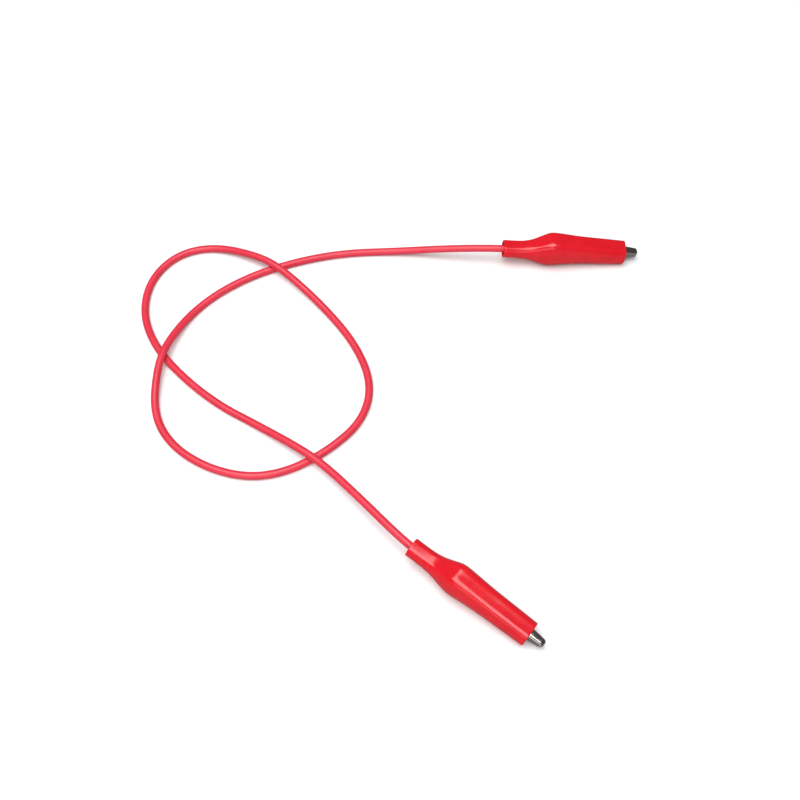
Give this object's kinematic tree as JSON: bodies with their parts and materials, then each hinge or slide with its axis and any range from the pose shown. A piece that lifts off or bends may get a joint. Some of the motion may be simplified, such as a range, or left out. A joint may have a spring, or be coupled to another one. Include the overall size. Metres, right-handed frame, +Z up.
{
  "type": "alligator clip lead",
  "caption": "Thin insulated test lead wound in a loose overhand loop, with a sprung toothed alligator clip in a soft red boot crimped on each end.",
  "frame": {"origin": "on the table under the middle of the box round the two clips; the cord isn't counted", "axes": "+Z up from the table the lead lies on; +Y from the near clip to the far clip; +X towards the side the jaws point to, away from the cord's loop"},
  "size_m": [0.1432, 0.1213, 0.0108],
  "materials": {
    "boot": "glossy soft moulded PVC, slightly translucent",
    "cord_jacket": "smooth extruded soft PVC, satin",
    "clip_steel": "bright nickel plated stamped steel",
    "rivet_steel": "nickel plated, lightly burnished",
    "spring_steel": "drawn spring wire",
    "copper": "bare copper strands"
  },
  "bodies": {
    "lead": {"cord_jacket": "cord_jacket", "cord_conductor": "copper", "near_fixed_jaw": "clip_steel", "near_pivot_rivet": "rivet_steel", "near_return_spring": "spring_steel", "near_wire_strands": "copper", "near_boot": "boot", "far_fixed_jaw": "clip_steel", "far_pivot_rivet": "rivet_steel", "far_return_spring": "spring_steel", "far_wire_strands": "copper", "far_boot": "boot"},
    "near_moving_jaw": {"near_moving_jaw": "clip_steel"},
    "far_moving_jaw": {"far_moving_jaw": "clip_steel"}
  },
  "joints": [
    {"name": "near_jaw_hinge", "type": "hinge", "parent": "lead", "child": "near_moving_jaw", "pos_m": [-0.0145, -0.04992, 0.00452], "axis": [-0.6018, -0.7986, 0], "range_deg": [0, 22], "stiffness_Nm_per_rad": 0.06, "springref_deg": -20.05, "deforming": ["near_boot", "near_return_spring"]},
    {"name": "far_jaw_hinge", "type": "hinge", "parent": "lead", "child": "far_moving_jaw", "pos_m": [0.0171, 0.05641, 0.00452], "axis": [0.0209, -0.9998, 0], "range_deg": [0, 22], "stiffness_Nm_per_rad": 0.06, "springref_deg": -20.05, "deforming": ["far_boot", "far_return_spring"]}
  ]
}
